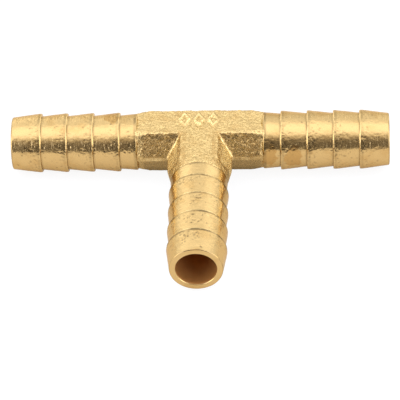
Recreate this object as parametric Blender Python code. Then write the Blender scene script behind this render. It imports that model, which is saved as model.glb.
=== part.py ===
"""Barbed tee connector for soft hose of 8 mm inside diameter, in brass.

A hot-forged tee body with three turned hose tails and a bore along each arm.
The tee lies flat on its barbs: +X runs along the through run, the branch points to -Y,
and Z = 0 is the surface under the barbs.
"""

import math

import bmesh
import bpy

MM = 0.001

# Turned hose tail. Every station is a distance along the arm from the crossing of the axes.
SHOULDER = 9.5 * MM
SHOULDER_GAP = 0.3 * MM
RUN_FIRST_RAMP = 2.6 * MM
BRANCH_FIRST_RAMP = 2.75 * MM
BARB_PITCH = 3.95 * MM
BARBS = 4
RUN_TIP_LENGTH = 4.5 * MM
BRANCH_TIP_LENGTH = 4.2 * MM
BARB_CLIFF = 0.12 * MM
BARB_RADIUS = 4.45 * MM
ROOT_RADIUS = 4.04 * MM
SHOULDER_RADIUS = 4.25 * MM
TIP_RADIUS = 3.95 * MM
TIP_ROUND = 0.2 * MM
BORE_RADIUS = 3.0 * MM
BORE_CHAMFER = 0.15 * MM
BARBED_LENGTH = (BARBS - 1) * BARB_PITCH
RUN_REACH = SHOULDER + RUN_FIRST_RAMP + BARBED_LENGTH + RUN_TIP_LENGTH
BRANCH_REACH = SHOULDER + BRANCH_FIRST_RAMP + BARBED_LENGTH + BRANCH_TIP_LENGTH

# Forged body: a six-sided section with a flat above and below and a trimmed band at the
# parting plane. The forging sits a little above the axes that the tails are turned on.
FORGING_LIFT = 0.15 * MM
FLAT_HEIGHT = 3.75 * MM
BAND_HEIGHT = 0.36 * MM
RUN_FLAT_HALF = 2.6 * MM
RUN_BAND_HALF = 4.25 * MM
BRANCH_FLAT_HALF = 2.7 * MM
BRANCH_BAND_HALF = 4.85 * MM
EDGE_ROUND = 0.2 * MM

# Each end of the body is coned down to just under the tail that follows it.
CONE_END_RADIUS = 4.08 * MM
RUN_CONE_SLOPE = 0.25
BRANCH_CONE_SLOPE = 0.30
CONE_LENGTH = 3.6 * MM
CUTTER_RADIUS = 9.0 * MM
OVERCUT = 1.0 * MM

DRILL_POINT = math.radians(118) / 2
FACETS = 48

# The row's origin is the middle of the bounding box's base.
CROSSING = (0.0, (BRANCH_REACH - BARB_RADIUS) / 2, BARB_RADIUS)
ALONG = {
    "left": (0.0, -math.pi / 2, 0.0),
    "right": (0.0, math.pi / 2, 0.0),
    "branch": (math.pi / 2, 0.0, 0.0),
}

FORGED_COLOUR = (0.78, 0.52, 0.20, 1.0)
TURNED_COLOUR = (0.83, 0.57, 0.23, 1.0)


def clear_scene():
    for old in list(bpy.data.objects):
        bpy.data.objects.remove(old, do_unlink=True)


def brass(name, colour, roughness):
    material = bpy.data.materials.new(name)
    material.use_nodes = True
    shader = material.node_tree.nodes["Principled BSDF"]
    shader.inputs["Base Color"].default_value = colour
    shader.inputs["Metallic"].default_value = 1.0
    shader.inputs["Roughness"].default_value = roughness
    return material


def add_object(name, bm, material=None):
    mesh = bpy.data.meshes.new(name)
    bm.to_mesh(mesh)
    bm.free()
    if material:
        mesh.materials.append(material)
    item = bpy.data.objects.new(name, mesh)
    bpy.context.scene.collection.objects.link(item)
    return item


def make_cutter(item):
    item.hide_render = True
    item.display_type = "WIRE"
    return item


def spin_profile(name, profile, material=None):
    """A closed outline of (radius, height) turned into a solid of revolution about Z."""
    bm = bmesh.new()
    corners = [bm.verts.new((radius, 0.0, height)) for radius, height in profile]
    for here, after in zip(corners, corners[1:] + corners[:1]):
        bm.edges.new((here, after))
    bmesh.ops.spin(
        bm,
        geom=bm.verts[:] + bm.edges[:],
        cent=(0.0, 0.0, 0.0),
        axis=(0.0, 0.0, 1.0),
        angle=2 * math.pi,
        steps=FACETS,
        use_merge=True,
    )
    bmesh.ops.remove_doubles(bm, verts=bm.verts[:], dist=1e-7)
    bmesh.ops.dissolve_degenerate(bm, edges=bm.edges[:], dist=1e-7)
    bmesh.ops.recalc_face_normals(bm, faces=bm.faces[:])
    return add_object(name, bm, material)


def tail_profile(first_ramp, reach):
    """Half section of a hose tail, from the shoulder out to the tip and back along the bore."""
    outline = [(SHOULDER_RADIUS, SHOULDER + SHOULDER_GAP / 2)]
    for barb in range(BARBS):
        station = SHOULDER + first_ramp + barb * BARB_PITCH
        outline.append((ROOT_RADIUS, station))
        outline.append((BARB_RADIUS, station + BARB_CLIFF))
    for step in range(4):
        turn = math.radians(90) * step / 3
        outline.append((
            TIP_RADIUS - TIP_ROUND * (1 - math.cos(turn)),
            reach - TIP_ROUND * (1 - math.sin(turn)),
        ))
    outline.append((BORE_RADIUS + BORE_CHAMFER, reach))
    outline.append((BORE_RADIUS, reach - BORE_CHAMFER))
    outline.append((BORE_RADIUS, SHOULDER + SHOULDER_GAP / 2))
    return outline


def hose_tail(arm, first_ramp, reach):
    material = brass(f"{arm}_turned_brass", TURNED_COLOUR, 0.28)
    tail = spin_profile(f"{arm}_hose_tail", tail_profile(first_ramp, reach), material)
    tail.location = CROSSING
    tail.rotation_euler = ALONG[arm]
    tail.data.shade_smooth()
    tail.data.set_sharp_from_angle(angle=math.radians(30))
    return tail


def tee_outline(run_half, branch_half, reach):
    """The eight corners of a tee seen from above, counterclockwise."""
    return (
        (reach, run_half),
        (-reach, run_half),
        (-reach, -run_half),
        (-branch_half, -run_half),
        (-branch_half, -reach),
        (branch_half, -reach),
        (branch_half, -run_half),
        (reach, -run_half),
    )


def forging_blank(material):
    """The tee lofted through four levels: lower flat, both edges of the band, upper flat."""
    reach = SHOULDER - SHOULDER_GAP / 2
    levels = (
        (-FLAT_HEIGHT, RUN_FLAT_HALF, BRANCH_FLAT_HALF),
        (-BAND_HEIGHT, RUN_BAND_HALF, BRANCH_BAND_HALF),
        (BAND_HEIGHT, RUN_BAND_HALF, BRANCH_BAND_HALF),
        (FLAT_HEIGHT, RUN_FLAT_HALF, BRANCH_FLAT_HALF),
    )
    bm = bmesh.new()
    rings = []
    for height, run_half, branch_half in levels:
        outline = tee_outline(run_half, branch_half, reach)
        rings.append([bm.verts.new((x, y, height)) for x, y in outline])
    bm.faces.new(reversed(rings[0]))
    bm.faces.new(rings[-1])
    for low, high in zip(rings, rings[1:]):
        for i in range(len(low)):
            j = (i + 1) % len(low)
            bm.faces.new((low[i], low[j], high[j], high[i]))
    body = add_object("forged_body", bm, material)
    rounding = body.modifiers.new("edge_round", "BEVEL")
    rounding.width = EDGE_ROUND
    rounding.segments = 2
    rounding.limit_method = "ANGLE"
    rounding.angle_limit = math.radians(25)
    return body


def cone_cutter(arm, slope):
    """A ring with a coned inside, which takes the corners off one end of the body."""
    base = SHOULDER - CONE_LENGTH
    end = SHOULDER + OVERCUT
    profile = (
        (CONE_END_RADIUS - slope * OVERCUT, end),
        (CONE_END_RADIUS + slope * CONE_LENGTH, base),
        (CUTTER_RADIUS, base),
        (CUTTER_RADIUS, end),
    )
    ring = spin_profile(f"{arm}_cone_cutter", profile)
    ring.location = (CROSSING[0], CROSSING[1], CROSSING[2] + FORGING_LIFT)
    ring.rotation_euler = ALONG[arm]
    return make_cutter(ring)


def run_drill():
    bm = bmesh.new()
    bmesh.ops.create_cone(
        bm,
        cap_ends=True,
        segments=FACETS,
        radius1=BORE_RADIUS,
        radius2=BORE_RADIUS,
        depth=2 * (SHOULDER + OVERCUT),
    )
    drill = add_object("run_drill", bm)
    drill.location = CROSSING
    drill.rotation_euler = ALONG["right"]
    return make_cutter(drill)


def branch_drill():
    """Drilled from the branch's end until its point reaches the crossing of the axes."""
    profile = (
        (0.0, 0.0),
        (BORE_RADIUS, BORE_RADIUS / math.tan(DRILL_POINT)),
        (BORE_RADIUS, SHOULDER + OVERCUT),
        (0.0, SHOULDER + OVERCUT),
    )
    drill = spin_profile("branch_drill", profile)
    drill.location = CROSSING
    drill.rotation_euler = ALONG["branch"]
    return make_cutter(drill)


def cut(item, cutter):
    boolean = item.modifiers.new(f"cut_{cutter.name}", "BOOLEAN")
    boolean.operation = "DIFFERENCE"
    boolean.solver = "EXACT"
    boolean.object = cutter


def forged_body():
    body = forging_blank(brass("forged_brass", FORGED_COLOUR, 0.42))
    body.location = (CROSSING[0], CROSSING[1], CROSSING[2] + FORGING_LIFT)
    cut(body, cone_cutter("left", RUN_CONE_SLOPE))
    cut(body, cone_cutter("right", RUN_CONE_SLOPE))
    cut(body, cone_cutter("branch", BRANCH_CONE_SLOPE))
    cut(body, run_drill())
    cut(body, branch_drill())
    return body


def main():
    clear_scene()
    forged_body()
    hose_tail("left", RUN_FIRST_RAMP, RUN_REACH)
    hose_tail("right", RUN_FIRST_RAMP, RUN_REACH)
    hose_tail("branch", BRANCH_FIRST_RAMP, BRANCH_REACH)


main()
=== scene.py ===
"""Looks of the barbed tee connector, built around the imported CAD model.

Every shape is worked out in millimetres from the crossing of the two axes and scaled to
metres when its mesh is made: x along the run, the branch towards -y, z up.
"""

import math
from types import SimpleNamespace

import bmesh
import bpy
import numpy as np
from mathutils import Matrix, Vector

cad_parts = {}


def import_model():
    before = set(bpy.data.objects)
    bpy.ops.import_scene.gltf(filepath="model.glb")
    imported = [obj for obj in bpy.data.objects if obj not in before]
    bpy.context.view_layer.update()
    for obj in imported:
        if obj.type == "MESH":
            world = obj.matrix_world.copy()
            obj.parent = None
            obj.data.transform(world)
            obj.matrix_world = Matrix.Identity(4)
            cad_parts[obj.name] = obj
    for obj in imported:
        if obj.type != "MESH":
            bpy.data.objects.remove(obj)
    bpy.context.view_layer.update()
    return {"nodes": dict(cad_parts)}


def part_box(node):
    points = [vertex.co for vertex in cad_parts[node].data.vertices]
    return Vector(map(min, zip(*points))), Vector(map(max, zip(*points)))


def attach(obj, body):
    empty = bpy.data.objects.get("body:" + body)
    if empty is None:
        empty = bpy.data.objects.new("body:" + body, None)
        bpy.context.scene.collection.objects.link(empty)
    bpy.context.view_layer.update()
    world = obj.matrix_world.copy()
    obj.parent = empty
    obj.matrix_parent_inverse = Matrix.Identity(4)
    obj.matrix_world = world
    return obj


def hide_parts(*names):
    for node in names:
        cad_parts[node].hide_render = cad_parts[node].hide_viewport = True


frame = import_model()

MM = 0.001

# ---------------------------------------------------------------- sizes read from the frame


def span(node):
    """The low and the high corner of a node's box, in millimetres."""
    low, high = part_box(node)
    return np.array(low) / MM, np.array(high) / MM


LEFT_LOW, LEFT_HIGH = span("left_hose_tail")
RIGHT_LOW, RIGHT_HIGH = span("right_hose_tail")
BRANCH_LOW, _ = span("branch_hose_tail")
BODY_LOW, BODY_HIGH = span("forged_body")

CROSSING = np.array([0.0, (LEFT_LOW[1] + LEFT_HIGH[1]) / 2, (LEFT_LOW[2] + LEFT_HIGH[2]) / 2])
BARB_R = (LEFT_HIGH[2] - LEFT_LOW[2]) / 2
REACH = {"left": -LEFT_LOW[0], "right": RIGHT_HIGH[0], "branch": CROSSING[1] - BRANCH_LOW[1]}
SHOULDER = (RIGHT_LOW[0] + BODY_HIGH[0]) / 2

# ---------------------------------------------------------------- noise and small helpers

NOISE_CELLS = 64
NOISE_SHIFT = 50
# Lengths in millimetres that differ by less than this count as equal.
NEAR = 0.01


def smoothstep(low, high, value):
    """0 below low and 1 above high, with a soft rise between them."""
    part = np.clip((value - low) / (high - low), 0, 1)
    return part * part * (3 - 2 * part)


def between(low, high, value, fade):
    """1 from low to high, falling to 0 over the fade on each side."""
    return smoothstep(low - fade, low, value) * (1 - smoothstep(high, high + fade, value))


def noise_table(seed):
    """A random level for each corner of a block of the noise's lattice, which then repeats."""
    return np.random.default_rng(seed).uniform(-1.0, 1.0, (NOISE_CELLS,) * 3)


def turned(points, seed):
    """The same points in a frame turned at random, so that a lattice never lines up with a face."""
    pick = np.random.default_rng(seed)
    axes, _ = np.linalg.qr(pick.normal(size=(3, 3)))
    return points @ axes.T + pick.uniform(0, NOISE_SHIFT, 3)


def noise(points, wavelength, seed):
    """Smooth noise between -1 and 1, with one bump for about each wavelength."""
    place = turned(points, seed) / wavelength
    cell = np.floor(place).astype(int)
    part = place - cell
    ease = part * part * part * (part * (part * 6 - 15) + 10)
    table = noise_table(seed)
    total = np.zeros(len(points))
    for dx in (0, 1):
        for dy in (0, 1):
            for dz in (0, 1):
                corner = (cell + (dx, dy, dz)) % NOISE_CELLS
                weight = np.ones(len(points))
                for axis, step in enumerate((dx, dy, dz)):
                    weight = weight * (ease[:, axis] if step else 1 - ease[:, axis])
                total += weight * table[corner[:, 0], corner[:, 1], corner[:, 2]]
    return total


def paint(mesh, name, amount):
    """Stores an amount between 0 and 1 at each vertex, for the materials to read."""
    layer = mesh.attributes.new(name, "FLOAT", "POINT")
    layer.data.foreach_set("value", np.clip(amount, 0, 1).astype(np.float32))


def mesh_from(name, bm):
    mesh = bpy.data.meshes.new(name)
    bm.to_mesh(mesh)
    bm.free()
    return mesh


def link_object(name, data):
    item = bpy.data.objects.new(name, data)
    bpy.context.scene.collection.objects.link(item)
    return item


# ---------------------------------------------------------------- hose tail, in millimetres

FIRST_RAMP = {"left": 2.6, "right": 2.6, "branch": 2.75}
BARB_PITCH = 3.95
BARBS = 4
ROOT_R = BARB_R - 0.41
SHOULDER_R = BARB_R - 0.20
TIP_R = BARB_R - 0.50
BORE_R = 3.0
CREST = 0.25
TIP_ROUND = 0.22
TIP_STEPS = 5
MOUTH_CHAMFER = 0.09
TAIL_START = SHOULDER - 0.05
# Points past this radius take the marks, stains, dirt, painted shade and painted highlight of the
# outer skin.
SKIN_R = BORE_R + 0.75

# How many points go round a tail, and how far apart they lie along each stretch of its outline.
AROUND = 320
RAMP_CELL = 0.105
EDGE_CELL = 0.045
BORE_CELL = 0.6
BACK_CELL = 0.3

# Marks of use: how many of each kind there are, for one crest, one cluster or one tail.
CREST_DENTS = 12
CREST_NICKS = 280
TAIL_PITS = 340
FRONT_NICKS = 7
CLUSTER_PITS = 26
SCRATCHES = 70
# A mark is cut off at this many times its half size, where it has nearly faded out.
MARK_REACH = 2.3

# The bearing about a tail's own +z that faces the camera's side on the run, and up on the branch.
FRONT = {"left": -90, "right": -90, "branch": 90}
UPWARDS = {"left": 1, "right": -1, "branch": 1}
# Patches where pits crowd together: on the run, this many degrees round from the front, and
# on the branch as (station, bearing).
RUN_PITS_ROUND = 31
BRANCH_PITS = ((13.3, 108), (18.0, 92), (22.0, 100), (25.2, 92), (25.6, 112))
# Brown patches as (station, half length, angle, half angle) in mm and degrees round from the front.
STAINS = {
    "left": ((13.4, 1.1, 105, 24), (21.0, 1.2, -140, 35), (25.5, 1.0, 170, 20)),
    "right": ((10.6, 1.2, 0, 26), (14.1, 1.4, -2, 26), (20.4, 0.9, 150, 30)),
    "branch": ((11.0, 1.0, 160, 30), (17.5, 1.1, 125, 30), (24.0, 1.0, 215, 25)),
}
# Strength of the dirt and painted shade along the crests of each arm.
CREST_DIRT_AND_SHADE = {"left": 0.22, "right": 0.22, "branch": 0.75}
# Strength of the painted highlight on the edge of each barb.
CREST_HIGHLIGHT = {"left": 0.1, "right": 0.1, "branch": 0.9}

ALONG = {
    "left": (0.0, -math.pi / 2, 0.0),
    "right": (0.0, math.pi / 2, 0.0),
    "branch": (math.pi / 2, 0.0, 0.0),
}


def barb_stations(arm):
    return [SHOULDER + FIRST_RAMP[arm] + barb * BARB_PITCH for barb in range(BARBS)]


def line_points(start, end, cell):
    """Evenly spaced points from start up to, but not including, end."""
    start, end = np.array(start, float), np.array(end, float)
    count = max(1, int(round(np.linalg.norm(end - start) / cell)))
    return [tuple(start + (end - start) * i / count) for i in range(count)]


def tail_outline(arm):
    """(station, radius) round the half section: outer skin, tip, bore and back ring."""
    corners = [
        ((TAIL_START, SHOULDER_R - 0.2), EDGE_CELL),
        ((SHOULDER - 0.01, SHOULDER_R - 0.09), EDGE_CELL),
        ((SHOULDER + 0.07, SHOULDER_R - 0.03), EDGE_CELL),
        ((SHOULDER + 0.15, SHOULDER_R), RAMP_CELL),
    ]
    for station in barb_stations(arm):
        corners += [
            ((station - 0.35, ROOT_R + 0.03), RAMP_CELL),
            ((station - 0.02, ROOT_R), EDGE_CELL),
            ((station + 0.02, BARB_R - 0.09), EDGE_CELL),
            ((station + 0.11, BARB_R - 0.024), EDGE_CELL),
            ((station + CREST, BARB_R - 0.004), EDGE_CELL),
            ((station + CREST + 0.16, BARB_R), RAMP_CELL),
        ]
    for step in range(TIP_STEPS + 1):
        turn = math.radians(90) * step / TIP_STEPS
        corners.append((
            (
                REACH[arm] - TIP_ROUND * (1 - math.sin(turn)),
                TIP_R - TIP_ROUND * (1 - math.cos(turn)),
            ),
            EDGE_CELL,
        ))
    corners += [
        ((REACH[arm], BORE_R + MOUTH_CHAMFER), EDGE_CELL),
        ((REACH[arm] - MOUTH_CHAMFER, BORE_R), BORE_CELL),
        ((TAIL_START, BORE_R), BACK_CELL),
    ]
    points = []
    for (here, cell), (after, _) in zip(corners, corners[1:] + corners[:1]):
        points += line_points(here, after, cell)
    return np.array(points)


def press_marks(arm, station, seed):
    """How deep, and how dirty, dents, pits and scratches leave each point of a tail's grid."""
    pick = np.random.default_rng(seed)
    around = 2 * math.pi * BARB_R
    arc = np.arange(AROUND) * around / AROUND
    sunk = np.zeros((len(station), AROUND))
    darkening = np.zeros((len(station), AROUND))

    def press(at_s, half_s, half_a, depth, dirty, tilt=None, degrees=None):
        """One oval mark, at a bearing and a tilt that are picked at random unless given."""
        if degrees is None:
            at_a = pick.uniform(0, around)
        else:
            at_a = math.radians(degrees) * BARB_R % around
        if tilt is None:
            tilt = pick.uniform(0, math.pi)
        reach = MARK_REACH * max(half_s, half_a)
        along = station - at_s
        across = (arc - at_a + around / 2) % around - around / 2
        rows = np.nonzero(np.abs(along) < reach)[0]
        cols = np.nonzero(np.abs(across) < reach)[0]
        ds = along[rows][:, None]
        da = across[cols][None, :]
        u = ds * math.cos(tilt) + da * math.sin(tilt)
        v = -ds * math.sin(tilt) + da * math.cos(tilt)
        shape = np.exp(-((u / half_s) ** 2 + (v / half_a) ** 2))
        here = np.ix_(rows, cols)
        sunk[here] = np.maximum(sunk[here], depth * shape)
        darkening[here] = np.maximum(darkening[here], dirty * shape)

    # Dents on each crest, and many small nicks that thin out towards the tip.
    for edge in barb_stations(arm):
        for _ in range(CREST_DENTS):
            press(
                edge + CREST + pick.uniform(-0.05, 0.2), pick.uniform(0.08, 0.2),
                pick.uniform(0.1, 0.3), pick.uniform(0.02, 0.055), pick.uniform(0.2, 0.5),
                tilt=pick.uniform(-0.4, 0.4),
            )
        for _ in range(CREST_NICKS):
            press(
                edge + CREST + abs(pick.normal(0.0, 0.8)), pick.uniform(0.06, 0.12),
                pick.uniform(0.07, 0.22), pick.uniform(0.008, 0.036),
                pick.uniform(0.0, 0.85) ** 3,
            )
    # Shallow pits all over the tail.
    for _ in range(TAIL_PITS):
        size = pick.uniform(0.06, 0.14)
        press(
            pick.uniform(SHOULDER, REACH[arm]), size, size * pick.uniform(0.8, 2.0),
            pick.uniform(0.006, 0.022), pick.uniform(0.0, 0.95) ** 3,
        )
    # Dark nicks on the crests of the run, a little above its front.
    for edge in barb_stations(arm) if arm != "branch" else ():
        for _ in range(FRONT_NICKS):
            press(
                edge + CREST + pick.uniform(0.0, 0.35), pick.uniform(0.1, 0.24),
                pick.uniform(0.1, 0.25), pick.uniform(0.005, 0.02), pick.uniform(0.4, 0.8),
                degrees=FRONT[arm] + UPWARDS[arm] * pick.normal(22, 6),
            )
    # Clusters of deeper pits.
    for at_s, degrees in pit_clusters(arm):
        for _ in range(CLUSTER_PITS):
            size = pick.uniform(0.05, 0.14)
            press(
                at_s + pick.normal(0, 0.55), size, size * pick.uniform(0.8, 1.8),
                pick.uniform(0.015, 0.06), pick.uniform(0.3, 1.0) ** 2,
                degrees=degrees + pick.normal(0, 7),
            )
    # Fine scratches, much longer than they are wide.
    for _ in range(SCRATCHES):
        press(
            pick.uniform(SHOULDER, REACH[arm]), pick.uniform(0.2, 0.7),
            pick.uniform(0.05, 0.08), pick.uniform(0.003, 0.010), pick.uniform(0.0, 0.12),
        )
    return sunk.ravel(), darkening.ravel()


def pit_clusters(arm):
    """(station, bearing) of the patches where pits crowd together."""
    if arm == "branch":
        return BRANCH_PITS
    bearing = FRONT[arm] + RUN_PITS_ROUND * UPWARDS[arm]
    return [(edge + 0.7, bearing) for edge in barb_stations(arm)] + [(SHOULDER + 0.8, bearing)]


def edge_dirt_and_shade(arm, station, radius):
    """Dirt and painted shade under each cliff and on the crests, painted shade at the shoulder,
    darker round the mouth.
    """
    # Painted shade in the groove at the shoulder.
    dirt_and_shade = 0.5 * between(SHOULDER + 0.12, SHOULDER + 0.38, station, 0.15)
    for edge in barb_stations(arm):
        # Dirt and painted shade in the corner under each cliff and on its crest.
        corner = 0.45 * smoothstep(edge - 0.35, edge, station) * (radius < ROOT_R + 0.1)
        crest = CREST_DIRT_AND_SHADE[arm] * between(edge + 0.24, edge + 0.46, station, 0.14)
        crest = crest * (station > edge + 0.14)
        dirt_and_shade = np.maximum(dirt_and_shade, np.maximum(corner * (station < edge + 0.05), crest))
    rim = 0.4 * between(REACH[arm] - 0.14, REACH[arm], station, 0.1) * (radius > TIP_R - 0.1)
    return np.maximum(dirt_and_shade, rim)


def crest_highlight(arm, station, radius):
    """Painted highlight on the very edge of each barb."""
    outermost = radius > BARB_R - 0.2
    shine = np.zeros(len(station))
    for edge in barb_stations(arm):
        shine = np.maximum(shine, between(edge, edge + 0.17, station, 0.06) * outermost)
    return CREST_HIGHLIGHT[arm] * shine


def stain_patches(arm, skin, turn, seed):
    """Old stains with fairly sharp, uneven borders."""
    ragged = 0.35 * noise(skin, 0.9, seed) + 0.15 * noise(skin, 0.35, seed + 1)
    stain = np.zeros(len(skin))
    for station, half_length, angle, half_angle in STAINS[arm]:
        swing = np.degrees(turn) - FRONT[arm] - angle
        swing = (swing + 180) % 360 - 180
        reach = np.hypot((skin[:, 2] - station) / half_length, swing / half_angle) + ragged
        stain = np.maximum(stain, 1 - smoothstep(0.85, 1.05, reach))
    return stain


def ring_faces(count):
    """Quads between each ring of points and the next one, the last ring joined to the first."""
    rows = np.arange(count)[:, None]
    cols = np.arange(AROUND)[None, :]
    next_rows = (rows + 1) % count
    next_cols = (cols + 1) % AROUND
    here = rows * AROUND + cols
    beside = rows * AROUND + next_cols
    across = next_rows * AROUND + next_cols
    above = next_rows * AROUND + cols
    return np.stack([here, beside, across, above], axis=-1).reshape(-1, 4)


def tail_mesh(name, arm, seed):
    """One tail about +z, as rings of quads: outline points by steps around."""
    outline = tail_outline(arm)
    count = len(outline)
    angle = np.arange(AROUND) * 2 * math.pi / AROUND
    station = np.repeat(outline[:, 0], AROUND)
    radius = np.repeat(outline[:, 1], AROUND)
    turn = np.tile(angle, count)
    outer = radius > SKIN_R
    skin = np.column_stack([BARB_R * np.cos(turn), BARB_R * np.sin(turn), station])
    wave = (
        0.012 * noise(skin * (1, 1, 0.5), 3.0, seed)
        + 0.011 * noise(skin, 0.62, seed + 1)
        + 0.0075 * noise(skin, 0.30, seed + 2)
    )
    sunk, darkening = press_marks(arm, outline[:, 0], seed + 3)
    radius = np.where(outer, np.minimum(radius + wave - sunk, BARB_R), radius)
    patches = np.clip(0.85 + 0.6 * noise(skin, 1.1, seed + 4), 0.45, 1.0)
    stain = np.where(outer, stain_patches(arm, skin, turn, seed + 5), 0.0)
    # Darkening from the marks, with dirt and painted shade along the cliffs, crests and shoulder.
    dirt_and_shade = np.where(outer, np.maximum(darkening, edge_dirt_and_shade(arm, station, radius) * patches), 0.0)
    # Painted shade in the bore, darkest at the mouth and gone 5 mm in.
    mouth = 0.5 * (1 - smoothstep(0.3, 5.0, REACH[arm] - station))
    dirt_and_shade = np.where(radius < BORE_R + NEAR, mouth, dirt_and_shade)
    points = np.column_stack([radius * np.cos(turn), radius * np.sin(turn), station]) * MM
    mesh = bpy.data.meshes.new(name)
    mesh.from_pydata(points.tolist(), [], ring_faces(count).tolist())
    mesh.update()
    paint(mesh, "dirt_and_shade", dirt_and_shade)
    paint(mesh, "stain", stain)
    # Painted highlight along the crests.
    paint(mesh, "highlight_and_wear", np.where(outer, crest_highlight(arm, station, radius), 0.0))
    return mesh


def hose_tail(arm, seed, skin, bore):
    name = f"{arm}_tail_turned"
    mesh = tail_mesh(name, arm, seed)
    piece = link_object(name, mesh)
    mesh.materials.append(skin)
    mesh.materials.append(bore)
    mesh.shade_smooth()
    inside = np.repeat(tail_outline(arm)[:, 1] < BORE_R + NEAR, AROUND).astype(np.int32)
    mesh.polygons.foreach_set("material_index", inside)
    piece.location = Vector(CROSSING) * MM
    piece.rotation_euler = ALONG[arm]
    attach(piece, "root")
    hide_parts(f"{arm}_hose_tail")


# ---------------------------------------------------------------- forged body

BODY_VOXEL = 0.0935
BODY_LIFT = (BODY_LOW[2] + BODY_HIGH[2]) / 2 - CROSSING[2]
BODY_TOP = BODY_HIGH[2] - CROSSING[2]
BODY_END = BODY_HIGH[0]
LAP = 0.3
BODY_BORE_R = BORE_R + 0.02
BORE_SIDES = 128
OVERCUT = 1.0
# Stands in for the distance to the branch's axis where the branch doesn't reach.
FAR = 99.0

# Fillets in the inner corners: passes that widen them, passes that smooth, and each one's pull.
FILLET_SPREAD = 3
FILLET_STEPS = 14
FILLET_PULL = 0.6

# Relief of the skin, in millimetres.
COARSE_DEPTH = 0.034
GRAIN_DEPTH = 0.046
WAVE_DEPTH = 0.03
EDGE_HEIGHT = 0.07
EDGE_TEAR = 0.19

MARK_PITCH = 2.15
MARK_CENTRE = (-0.15, 0.45)
MARK_HALF = (0.98, 1.5)
MARK_HEIGHT = 0.3
MARK_SHADE = 0.22


def mesh_arrays(mesh):
    points = np.zeros(len(mesh.vertices) * 3)
    mesh.vertices.foreach_get("co", points)
    normals = np.zeros(len(mesh.vertices) * 3)
    mesh.vertices.foreach_get("normal", normals)
    edges = np.zeros(len(mesh.edges) * 2, np.int32)
    mesh.edges.foreach_get("vertices", edges)
    return points.reshape(-1, 3), normals.reshape(-1, 3), edges.reshape(-1, 2)


def set_points(mesh, points):
    mesh.vertices.foreach_set("co", points.astype(np.float32).ravel())
    mesh.update()


def apply_modifiers(item):
    view = bpy.context.evaluated_depsgraph_get()
    mesh = bpy.data.meshes.new_from_object(item.evaluated_get(view))
    item.modifiers.clear()
    item.data = mesh
    return mesh


def neighbour_mean(edges, values):
    """Each vertex's value replaced by the mean of its neighbours' values."""
    ends = edges.ravel()
    others = edges[:, ::-1].ravel()
    total = len(values)
    count = np.maximum(np.bincount(ends, minlength=total), 1)
    means = [
        np.bincount(ends, weights=column[others], minlength=total) / count
        for column in values.reshape(total, -1).T
    ]
    return np.array(means).T.reshape(values.shape)


def bulge(points, normals, edges):
    """How sharply the skin bends, per mm: above 0 on an edge and below 0 in a corner."""
    step = points[edges[:, 1]] - points[edges[:, 0]]
    turn = normals[edges[:, 1]] - normals[edges[:, 0]]
    bend = (step * turn).sum(axis=1) / np.maximum((step * step).sum(axis=1), 1e-9)
    total = len(points)
    ends = edges.ravel()
    both = np.repeat(bend, 2)
    count = np.maximum(np.bincount(ends, minlength=total), 1)
    mean = np.bincount(ends, weights=both, minlength=total) / count
    for _ in range(3):
        mean = neighbour_mean(edges, mean)
    return mean


def in_bore(points, branch_start):
    """True on a drilled wall: the run's, or the branch's from branch_start outwards."""
    in_run = np.hypot(points[:, 1], points[:, 2]) < BODY_BORE_R + NEAR
    in_branch = np.hypot(points[:, 0], points[:, 2]) < BODY_BORE_R + NEAR
    return in_run | (in_branch & (points[:, 1] < branch_start))


def on_end(point):
    """True on the flat end of one of the body's three arms."""
    return max(abs(point.x), -point.y) >= BODY_END - NEAR


def body_blank():
    """The CAD body in millimetres about the crossing, solid, and run out to lap under the tails."""
    bm = bmesh.new()
    bm.from_mesh(frame["nodes"]["forged_body"].data)
    bmesh.ops.remove_doubles(bm, verts=bm.verts[:], dist=1e-6)
    for vert in bm.verts:
        vert.co = vert.co / MM - Vector(CROSSING)
    bored = in_bore(np.array([vert.co for vert in bm.verts]), BORE_R + 0.9)
    walls = [
        face for face in bm.faces
        if all(bored[vert.index] for vert in face.verts) and not on_end(face.calc_center_median())
    ]
    bmesh.ops.delete(bm, geom=walls, context="FACES")
    bmesh.ops.holes_fill(bm, edges=[edge for edge in bm.edges if edge.is_boundary], sides=0)
    for vert in bm.verts:
        if abs(vert.co.x) > BODY_END - NEAR:
            vert.co.x = math.copysign(SHOULDER + LAP, vert.co.x)
        if vert.co.y < -BODY_END + NEAR:
            vert.co.y = -SHOULDER - LAP
    return mesh_from("forged_body_skin", bm)


def drill(name, turn, start, end):
    """A cutter of the bore's size along the turned +z axis, from start to end."""
    bm = bmesh.new()
    bmesh.ops.create_cone(
        bm,
        cap_ends=True,
        segments=BORE_SIDES,
        radius1=BODY_BORE_R,
        radius2=BODY_BORE_R,
        depth=end - start,
    )
    bmesh.ops.translate(bm, verts=bm.verts[:], vec=(0, 0, (start + end) / 2))
    cutter = link_object(name, mesh_from(name, bm))
    cutter.rotation_euler = turn
    return cutter


def cut_body():
    """The body's skin as an even mesh with filleted corners, and then the two bores cut out."""
    piece = link_object("forged_body_skin", body_blank())
    remesh = piece.modifiers.new("even_skin", "REMESH")
    remesh.mode = "VOXEL"
    remesh.voxel_size = BODY_VOXEL
    smooth = piece.modifiers.new("relax", "SMOOTH")
    smooth.factor = 0.5
    smooth.iterations = 1
    mesh = apply_modifiers(piece)
    soften_corners(mesh)
    cutters = [
        drill("run_drill", ALONG["right"], -SHOULDER - OVERCUT, SHOULDER + OVERCUT),
        drill("branch_drill", ALONG["branch"], 0, SHOULDER + OVERCUT),
    ]
    for cutter in cutters:
        cut = piece.modifiers.new(cutter.name, "BOOLEAN")
        cut.operation = "DIFFERENCE"
        cut.solver = "MANIFOLD"
        cut.object = cutter
    apply_modifiers(piece)
    for cutter in cutters:
        bpy.data.objects.remove(cutter)
    return piece


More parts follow.
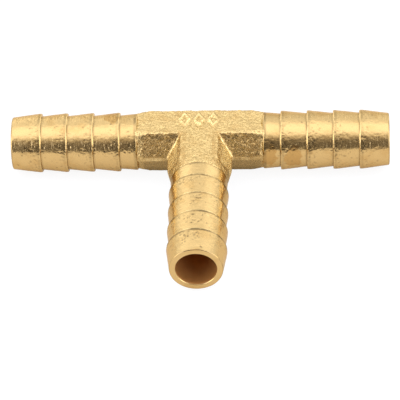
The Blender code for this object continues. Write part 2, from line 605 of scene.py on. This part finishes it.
def soften_corners(mesh):
    """Rounds the inner corners to the fillets that a forging die leaves."""
    points, normals, edges = mesh_arrays(mesh)
    hollow = smoothstep(0.4, 1.2, -bulge(points, normals, edges))
    for _ in range(FILLET_SPREAD):
        hollow = np.maximum(hollow, neighbour_mean(edges, hollow))
    for _ in range(FILLET_STEPS):
        points += (neighbour_mean(edges, points) - points) * (FILLET_PULL * hollow[:, None])
    set_points(mesh, points)


def worn_marks(points):
    """Three raised lozenges on the upper flat, worn uneven."""
    raised = np.zeros(len(points))
    for step in (-1, 0, 1):
        across = np.abs(points[:, 0] - MARK_CENTRE[0] - step * MARK_PITCH) / MARK_HALF[0]
        along = np.abs(points[:, 1] - MARK_CENTRE[1]) / MARK_HALF[1]
        reach = across + along
        raised = np.maximum(raised, between(0.66, 0.88, reach, 0.16))
    worn = np.clip(0.8 + 0.7 * noise(points, 0.9, 17), 0.3, 1.1)
    return raised * worn * (points[:, 2] > BODY_TOP - 0.4)


def mark_shade(points):
    """Painted shade behind the raised marks, on their far side."""
    nearer = worn_marks(points - (0, MARK_SHADE, 0))
    far_side = points[:, 1] > MARK_CENTRE[1] + 0.2
    return smoothstep(0.15, 0.6, nearer - worn_marks(points)) * far_side


def body_zones(points, normals, edges):
    """Where the features of the forged skin lie, from 0 to 1, and the measures that vary them."""
    x, y, z = points.T
    from_run = np.hypot(y, z)
    from_branch = np.where(y < 0, np.hypot(x, z), FAR)
    ends = np.maximum(np.abs(x), -y)
    outside = smoothstep(BORE_R + 0.15, BORE_R + 0.4, np.minimum(from_run, from_branch))
    outside *= 1 - smoothstep(SHOULDER - 0.05, SHOULDER + 0.10, ends)
    ragged = noise(points, 0.75, 15) + 0.6 * noise(points, 0.4, 16)
    bend = bulge(points, normals, edges)
    front = smoothstep(0.6, 0.8, -normals[:, 1])
    # The strip that trimming left along the front of the parting plane.
    land = front * (1 - smoothstep(0.2, 0.45, np.abs(z - BODY_LIFT + 0.08)))
    land *= np.clip(0.6 + 0.5 * ragged, 0.2, 1)
    # The edges along both sides of the branch's upper flat.
    brow = between(2.1, 3.1, np.abs(x), 0.35) * smoothstep(1.8, 2.6, -y)
    brow *= (z > 1.0) * np.clip(0.75 + 0.5 * ragged, 0.3, 1)
    # Wear at the ends of the run, which reaches further in on the left.
    wear_start = SHOULDER - np.where(x < 0, 1.15, 0.55)
    end_wear = smoothstep(wear_start, wear_start + 0.4, np.abs(x) + 0.25 * ragged)
    return SimpleNamespace(
        ends=ends,
        outside=outside,
        coarse=noise(points, 0.52, 11),
        grain=noise(points, 0.28, 12),
        ragged=ragged,
        bend=bend,
        edge=smoothstep(0.7, 1.8, bend),
        flank=smoothstep(0.45, 0.7, np.abs(normals[:, 0])) * (y < -2.5),
        below=smoothstep(0.15, 0.4, -normals[:, 2]),
        front=front,
        land=land,
        brow=brow,
        end_wear=end_wear,
        bare=1 - np.maximum(0.8 * land, 0.7 * end_wear * front),
    )


def body_relief(points, zone):
    """How far the skin is raised at each vertex, in millimetres."""
    _, y, z = points.T
    band = 1 - 0.6 * (1 - smoothstep(0.3, 0.55, np.abs(z - BODY_LIFT)))
    smooth = 1 - np.maximum(0.75 * np.maximum(zone.flank, zone.below), 0.3 * zone.land)
    torn = np.where((y > 1.0) | (z < 0.0), 0.15, 1.0)
    grain = (COARSE_DEPTH * zone.coarse + GRAIN_DEPTH * zone.grain) * (1 + 0.9 * zone.front)
    lift = (
        grain * band * smooth
        + WAVE_DEPTH * noise(points, 2.6, 13)
        + zone.edge * (EDGE_HEIGHT + EDGE_TEAR * zone.ragged + 0.10 * zone.grain) * torn
        + MARK_HEIGHT * worn_marks(points)
    )
    return lift * zone.outside


def body_dirt_and_shade(points, zone):
    """Dirt in the grain; painted shade in the corners, underneath, on the front faces and the end
    cone, under the top edge and behind the marks.
    """
    x, y, z = points.T
    pits = smoothstep(0.22, 0.6, -(0.55 * zone.coarse + 0.45 * zone.grain) * 1.6)
    # Painted shade in the inner corners.
    corner = smoothstep(0.4, 1.4, -zone.bend)
    darkening = np.clip(0.12 * pits + 0.2 * corner - 0.6 * zone.edge, 0, 1) * (1 - 0.8 * zone.flank)
    # Painted shade on the underside, on the cone at the branch's end and on the front faces.
    underside = zone.below * (0.24 + 0.36 * smoothstep(1.2, 3.2, -z))
    cone = 0.25 * smoothstep(8.0, 8.4, -y) * smoothstep(1.6, 2.4, np.abs(x))
    broad = np.maximum(np.maximum(underside, cone), 0.37 * zone.front)
    darkening = np.maximum(darkening, broad) * zone.bare
    # A painted shade line just under the front edge of the upper flat.
    below_edge = between(3.1, 3.5, z, 0.35) * np.clip(0.6 + 0.8 * zone.ragged, 0, 1)
    darkening = np.maximum(darkening, 0.75 * zone.front * below_edge * (1 - zone.edge))
    # A little darker along the brow.
    darkening = np.maximum(darkening, 0.1 * zone.brow)
    return zone.outside * np.maximum(darkening, 0.8 * mark_shade(points))


def body_stain(zone):
    """Browner colour on the front faces, less on their lower strip, and along the edges of the
    branch's upper flat.
    """
    front_brown = zone.front * (0.62 - 0.3 * zone.below) * zone.bare
    return zone.outside * np.maximum(front_brown, 0.55 * zone.brow)


def body_highlight_and_wear(points, zone):
    """Painted light on the branch's flanks, painted highlights on the trimmed strip, the marks and
    the edges, and wear at the run's ends.
    """
    # Painted light on the branch's flanks, and wear at the ends of the run.
    flank_light_and_end_wear = 0.95 * zone.flank * smoothstep(-0.8, 0.4, points[:, 2])
    flank_light_and_end_wear = np.maximum(flank_light_and_end_wear, 0.35 * zone.end_wear * zone.front)
    # Painted highlights on the trimmed strip, the marks and the edges.
    highlight_and_wear = flank_light_and_end_wear + 0.5 * zone.land + 0.5 * worn_marks(points) + 0.5 * zone.edge
    highlight_and_wear = zone.outside * np.clip(highlight_and_wear, 0, 1)
    return highlight_and_wear * (1 - smoothstep(7.9, 8.3, zone.ends)) * (1 - zone.brow)


def forged_body(skin, bore):
    piece = cut_body()
    mesh = piece.data
    points, normals, edges = mesh_arrays(mesh)
    zone = body_zones(points, normals, edges)
    relief = body_relief(points, zone)
    set_points(mesh, (points + normals * relief[:, None]) * MM)
    paint(mesh, "dirt_and_shade", body_dirt_and_shade(points, zone))
    paint(mesh, "stain", body_stain(zone))
    paint(mesh, "highlight_and_wear", body_highlight_and_wear(points, zone))
    mesh.materials.clear()
    mesh.materials.append(skin)
    mesh.materials.append(bore)
    centres = np.zeros(len(mesh.polygons) * 3)
    mesh.polygons.foreach_get("center", centres)
    drilled = in_bore(centres.reshape(-1, 3) / MM, 0.1)
    mesh.polygons.foreach_set("material_index", drilled.astype(np.int32))
    mesh.shade_smooth()
    piece.location = Vector(CROSSING) * MM
    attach(piece, "root")
    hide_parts("forged_body")


# ---------------------------------------------------------------- materials

TURNED = (0.63, 0.42, 0.165, 1.0)
FORGED = (0.74, 0.515, 0.21, 1.0)
FORGED_DARK = (0.53, 0.36, 0.135, 1.0)
# Painted highlight and painted light, also bare worn brass at the run's ends.
HIGHLIGHTED = (0.95, 0.72, 0.335, 1.0)
STAINED = (0.50, 0.285, 0.085, 1.0)
# The colour of dirt and of painted shade, which the dark specks take too.
DIRT_AND_SHADE = (0.10, 0.065, 0.025, 1.0)
BORE_DARK = (0.54, 0.24, 0.062, 1.0)
BORE_LIGHT = (0.63, 0.30, 0.085, 1.0)
# Painted shade in the bore, towards the mouth.
BORE_SHADE = (0.19, 0.075, 0.018, 1.0)
GRAZING = (0.85, 0.74, 0.58, 1.0)


def new_material(name):
    material = bpy.data.materials.new(name)
    material.use_nodes = True
    return material, material.node_tree, material.node_tree.nodes["Principled BSDF"]


def calc(tree, operation, *values):
    """A Math node; each value is a number or another node's output."""
    node = tree.nodes.new("ShaderNodeMath")
    node.operation = operation
    for socket, value in zip(node.inputs, values):
        if isinstance(value, (int, float)):
            socket.default_value = value
        else:
            tree.links.new(value, socket)
    return node.outputs[0]


def ramp(tree, value, stops):
    """A ramp through (position, level) stops, where a level is a grey or a colour."""
    node = tree.nodes.new("ShaderNodeValToRGB")
    tree.links.new(value, node.inputs["Fac"])
    node.color_ramp.interpolation = "LINEAR"
    points = node.color_ramp.elements
    while len(points) < len(stops):
        points.new(0.5)
    for point, (position, level) in zip(points, stops):
        point.position = position
        point.color = (*level, 1.0) if isinstance(level, tuple) else (level, level, level, 1.0)
    return node.outputs["Color"]


def stretched(tree, scale):
    """The piece's own coordinates in millimetres, stretched by scale along each axis."""
    coords = tree.nodes.new("ShaderNodeTexCoord")
    mapping = tree.nodes.new("ShaderNodeMapping")
    mapping.inputs["Scale"].default_value = [value / MM for value in scale]
    tree.links.new(coords.outputs["Object"], mapping.inputs["Vector"])
    return mapping.outputs["Vector"]


def noise_value(tree, vector, detail=2.0, roughness=0.5):
    node = tree.nodes.new("ShaderNodeTexNoise")
    node.inputs["Scale"].default_value = 1.0
    node.inputs["Detail"].default_value = detail
    node.inputs["Roughness"].default_value = roughness
    tree.links.new(vector, node.inputs["Vector"])
    return node.outputs["Fac"]


def bump(tree, height, depth, below=None):
    """A bump of depth millimetres, laid over the one below it."""
    node = tree.nodes.new("ShaderNodeBump")
    node.inputs["Distance"].default_value = depth * MM
    tree.links.new(height, node.inputs["Height"])
    if below is not None:
        tree.links.new(below, node.inputs["Normal"])
    return node.outputs["Normal"]


def colour_maths(tree, operation, colour, other):
    node = tree.nodes.new("ShaderNodeVectorMath")
    node.operation = operation
    tree.links.new(colour, node.inputs[0])
    socket = node.inputs["Scale"] if operation == "SCALE" else node.inputs[1]
    if isinstance(other, (int, float)):
        socket.default_value = other
    else:
        tree.links.new(other, socket)
    return node.outputs[0]


def painted(tree, name):
    """The amount that paint() stored under this name."""
    node = tree.nodes.new("ShaderNodeAttribute")
    node.attribute_name = name
    return node.outputs["Fac"]


def blend_colour(tree, factor, low, high):
    """Low where factor is 0 and high where it is 1; each is a colour or another node's output."""
    node = tree.nodes.new("ShaderNodeMix")
    node.data_type = "RGBA"
    tree.links.new(factor, node.inputs["Factor"])
    for socket, value in zip((node.inputs["A"], node.inputs["B"]), (low, high)):
        if isinstance(value, tuple):
            socket.default_value = value
        else:
            tree.links.new(value, socket)
    return node.outputs["Result"]


def turned_brass():
    """The satin skin of the tails: faint turning marks, brown stains, soiling, painted shade and
    painted highlights on the crests.
    """
    material, tree, shader = new_material("turned_brass")
    streaks = noise_value(tree, stretched(tree, (0.3, 0.3, 3.2)), 3.0, 0.65)
    fine = noise_value(tree, stretched(tree, (3.0, 3.0, 3.0)), 3.0, 0.6)
    cloud = noise_value(tree, stretched(tree, (0.42, 0.42, 0.42)), 2.0, 0.5)
    lathe = noise_value(tree, stretched(tree, (0.4, 0.4, 9.0)), 1.0, 0.5)
    normal = bump(tree, fine, 0.014)
    normal = bump(tree, streaks, 0.017, normal)
    normal = bump(tree, lathe, 0.016, normal)
    tree.links.new(normal, shader.inputs["Normal"])
    tint = ramp(tree, cloud, ((0.34, 0.35), (0.42, 0.08), (0.55, 0.0)))
    stain = calc(tree, "MAXIMUM", tint, calc(tree, "MULTIPLY", painted(tree, "stain"), 0.85))
    # Painted highlight on the crests.
    colour = blend_colour(tree, painted(tree, "highlight_and_wear"), TURNED, HIGHLIGHTED)
    colour = blend_colour(tree, stain, colour, STAINED)
    # Dirt and painted shade.
    colour = blend_colour(tree, painted(tree, "dirt_and_shade"), colour, DIRT_AND_SHADE)
    tree.links.new(colour, shader.inputs["Base Color"])
    tree.links.new(ramp(tree, fine, ((0.3, 0.16), (0.7, 0.25))), shader.inputs["Roughness"])
    shader.inputs["Specular Tint"].default_value = GRAZING
    shader.inputs["Metallic"].default_value = 0.97
    return material


def bored_brass():
    """The drilled bore: a dull brown skin that no light reaches directly, with painted shade near
    the mouth.
    """
    material, tree, shader = new_material("bored_brass")
    cloud = noise_value(tree, stretched(tree, (1.5, 1.5, 1.5)), 3.0, 0.6)
    colour = blend_colour(tree, cloud, BORE_DARK, BORE_LIGHT)
    # Painted shade towards the mouth.
    colour = blend_colour(tree, painted(tree, "dirt_and_shade"), colour, BORE_SHADE)
    tree.links.new(colour, shader.inputs["Base Color"])
    shader.inputs["Metallic"].default_value = 0.45
    shader.inputs["Roughness"].default_value = 0.6
    shader.inputs["Specular IOR Level"].default_value = 0.1
    shader.inputs["Specular Tint"].default_value = GRAZING
    return material


def forged_brass():
    """The grainy skin of the body: mottled, specked, stained, soiled and worn, with painted shade,
    painted light and painted highlights.
    """
    material, tree, shader = new_material("forged_brass")
    grain = noise_value(tree, stretched(tree, (3.4, 3.4, 3.4)), 3.0, 0.6)
    fine = noise_value(tree, stretched(tree, (8.0, 8.0, 8.0)), 2.0, 0.6)
    cloud = noise_value(tree, stretched(tree, (0.5, 0.5, 0.5)), 3.0, 0.6)
    normal = bump(tree, fine, 0.02)
    normal = bump(tree, grain, 0.12, normal)
    tree.links.new(normal, shader.inputs["Normal"])
    mottle = noise_value(tree, stretched(tree, (4.4, 4.4, 4.4)), 2.0, 0.6)
    mottle = ramp(tree, mottle, ((0.40, 0.0), (0.58, 1.0)))
    colour = blend_colour(tree, mottle, FORGED_DARK, FORGED)
    # Painted light and highlights, and wear.
    colour = blend_colour(tree, painted(tree, "highlight_and_wear"), colour, HIGHLIGHTED)
    tint = ramp(tree, cloud, ((0.35, 0.35), (0.5, 0.0)))
    stain = calc(tree, "MAXIMUM", tint, painted(tree, "stain"))
    colour = blend_colour(tree, stain, colour, STAINED)
    specks = ramp(tree, grain, ((0.28, 0.4), (0.36, 0.0)))
    specks = calc(tree, "SUBTRACT", specks, painted(tree, "highlight_and_wear"))
    # The dark specks, with dirt and painted shade.
    darkening = calc(tree, "MAXIMUM", specks, painted(tree, "dirt_and_shade"))
    tree.links.new(blend_colour(tree, darkening, colour, DIRT_AND_SHADE), shader.inputs["Base Color"])
    tree.links.new(ramp(tree, grain, ((0.35, 0.31), (0.65, 0.22))), shader.inputs["Roughness"])
    shader.inputs["Specular Tint"].default_value = GRAZING
    shader.inputs["Metallic"].default_value = 0.95
    return material


# ---------------------------------------------------------------- studio

# A ramp holds levels up to 1, so the world's levels are stored as parts of this one.
RAMP_TOP = 4.0
# Light that reaches the camera off two or more faces, made whiter so that brass doesn't
# tint it twice over. Its Ray Depth in the world is above TWO_FACES.
TWO_FACES = 2.5
SECOND = (1.25, 1.68, 2.9, 1.0)
PANEL = (0.98, 1.0, 1.12)
WARM = (1.08, 1.0, 0.96)
PLAIN = (1.0, 1.0, 1.0)
BLUISH = (1.0, 1.08, 1.4)
COOL = (0.95, 1.0, 1.12)
WHITE = (1.0, 1.0, 1.0, 1.0)

# The camera looks at a point this far from the crossing. Angles are in degrees.
CAMERA_AIM = (0.21, -13.337, 0.0)
CAMERA_AZIMUTH = 3.285
CAMERA_ELEVATION = 41.912
CAMERA_ROLL = -2.845
CAMERA_DISTANCE = 420.0
SENSOR_WIDTH = 36.0
# Focal length as a multiple of the sensor's width.
LENS_RATIO = 7.10625

FLOOR_SIZE = 3.0
# Base colour and glow of the floor, to the camera and to every other ray.
SEEN_BASE = 0.12
SEEN_GLOW = 0.90
UNSEEN_BASE = 0.47
UNSEEN_GLOW = 0.44


def light(level, tint=PLAIN):
    return tuple(level * part / RAMP_TOP for part in tint)


# Light by angle over the top, in degrees from the front horizon to the back one.
TENT_LIGHT = [(degrees / 180, light(level, tint)) for degrees, level, tint in (
    (0, 0.15, WARM), (25, 0.15, WARM), (38, 0.24, WARM), (48, 0.50, WARM),
    (57, 1.02, PLAIN), (66, 1.65, PANEL), (78, 2.10, PANEL), (100, 2.15, PANEL),
    (108, 1.98, PANEL), (115, 1.68, COOL), (124, 1.40, COOL), (134, 1.24, COOL),
    (150, 1.08, COOL), (180, 0.98, PLAIN),
)]
# Light by how far sideways a direction points: behind the object, and then in front of it.
BACK_LIGHT = [(reach, light(level, COOL)) for reach, level in (
    (0.15, 0.0), (0.22, 1.9), (0.30, 2.2), (0.45, 2.8),
    (0.62, 3.0), (0.74, 2.6), (0.80, 1.6), (0.87, 0.5),
)]
SIDE_LIGHT = [(reach, light(level, tint)) for reach, level, tint in (
    (0.50, 0.0, BLUISH), (0.56, 1.9, BLUISH), (0.66, 2.5, BLUISH), (0.78, 2.5, BLUISH),
    (0.86, 3.4, PLAIN), (1.0, 4.0, PLAIN),
)]


def camera_rig():
    """A long lens above and in front of the branch, a touch to the right, rolled with the run."""
    azimuth = math.radians(CAMERA_AZIMUTH)
    elevation = math.radians(CAMERA_ELEVATION)
    roll = math.radians(CAMERA_ROLL)
    aim = Vector(CROSSING) + Vector(CAMERA_AIM)
    back = Vector((
        math.sin(azimuth) * math.cos(elevation),
        -math.cos(azimuth) * math.cos(elevation),
        math.sin(elevation),
    ))
    right = Vector((math.cos(azimuth), math.sin(azimuth), 0.0))
    up = back.cross(right)
    turn = Matrix.Rotation(roll, 3, back)
    axes = Matrix((turn @ right, turn @ up, back)).transposed()
    data = bpy.data.cameras.new("camera")
    data.sensor_width = SENSOR_WIDTH
    data.lens = SENSOR_WIDTH * LENS_RATIO
    data.clip_start = 0.01
    data.clip_end = 20.0
    camera = link_object("camera", data)
    place = (aim + back * CAMERA_DISTANCE) * MM
    camera.matrix_world = Matrix.Translation(place) @ axes.to_4x4()
    bpy.context.scene.camera = camera


def floor():
    """A pale floor, which glows more to the camera than to the brass."""
    bm = bmesh.new()
    bmesh.ops.create_grid(bm, x_segments=1, y_segments=1, size=FLOOR_SIZE)
    mesh = mesh_from("floor", bm)
    item = link_object("floor", mesh)
    material, tree, shader = new_material("pale_floor")
    shader.inputs["Roughness"].default_value = 0.9
    shader.inputs["Specular IOR Level"].default_value = 0.0
    shader.inputs["Emission Color"].default_value = WHITE
    seen = tree.nodes.new("ShaderNodeLightPath").outputs["Is Camera Ray"]
    # The world multiplies by SECOND what reaches the brass off the floor, so it is divided here.
    unseen_base = tuple(UNSEEN_BASE / part for part in SECOND[:3])
    base = ramp(tree, seen, ((0.0, unseen_base), (1.0, SEEN_BASE)))
    tree.links.new(base, shader.inputs["Base Color"])
    glow = ramp(tree, seen, ((0.0, UNSEEN_GLOW), (1.0, SEEN_GLOW)))
    tree.links.new(glow, shader.inputs["Emission Strength"])
    mesh.materials.append(material)


def world():
    """A white studio tent: bright overhead, and dark on the camera's side above the floor."""
    tent = bpy.data.worlds.new("tent")
    bpy.context.scene.world = tent
    tent.use_nodes = True
    tree = tent.node_tree
    tree.nodes.clear()
    coords = tree.nodes.new("ShaderNodeTexCoord")
    split = tree.nodes.new("ShaderNodeSeparateXYZ")
    tree.links.new(coords.outputs["Generated"], split.inputs[0])
    x, y, z = split.outputs

    # The angle over the top, from the front horizon at 0 to the back horizon at 1.
    climb = calc(tree, "ARCTAN2", z, calc(tree, "MULTIPLY", y, -1.0))
    climb = calc(tree, "MULTIPLY", climb, 1 / math.pi)
    over = ramp(tree, climb, TENT_LIGHT)
    sideways = calc(tree, "ABSOLUTE", x)
    behind = calc(tree, "MAXIMUM", calc(tree, "MULTIPLY", y, RAMP_TOP), 0.0)
    back = colour_maths(tree, "SCALE", ramp(tree, sideways, BACK_LIGHT), behind)
    half_back = calc(tree, "MULTIPLY_ADD", y, 0.5, 0.5)
    in_front = ramp(tree, half_back, ((0.48, 1.0), (0.66, 0.0)))
    in_front = calc(tree, "MULTIPLY", in_front, RAMP_TOP)
    aside = colour_maths(tree, "SCALE", ramp(tree, sideways, SIDE_LIGHT), in_front)
    level = colour_maths(tree, "SCALE", over, RAMP_TOP)
    level = colour_maths(tree, "MAXIMUM", level, colour_maths(tree, "MAXIMUM", back, aside))
    path = tree.nodes.new("ShaderNodeLightPath")
    again = calc(tree, "GREATER_THAN", path.outputs["Ray Depth"], TWO_FACES)
    whiter = colour_maths(tree, "MULTIPLY", level, blend_colour(tree, again, WHITE, SECOND))
    shown = blend_colour(tree, path.outputs["Is Camera Ray"], whiter, WHITE)
    background = tree.nodes.new("ShaderNodeBackground")
    tree.links.new(shown, background.inputs["Color"])
    out = tree.nodes.new("ShaderNodeOutputWorld")
    tree.links.new(background.outputs[0], out.inputs["Surface"])


TAIL_SEEDS = {"left": 21, "right": 41, "branch": 61}


def main():
    camera_rig()
    world()
    floor()
    turned_metal = turned_brass()
    bored_metal = bored_brass()
    forged_body(forged_brass(), bored_metal)
    for arm, seed in TAIL_SEEDS.items():
        hose_tail(arm, seed, turned_metal, bored_metal)
    bpy.context.scene.view_settings.view_transform = "Standard"


main()
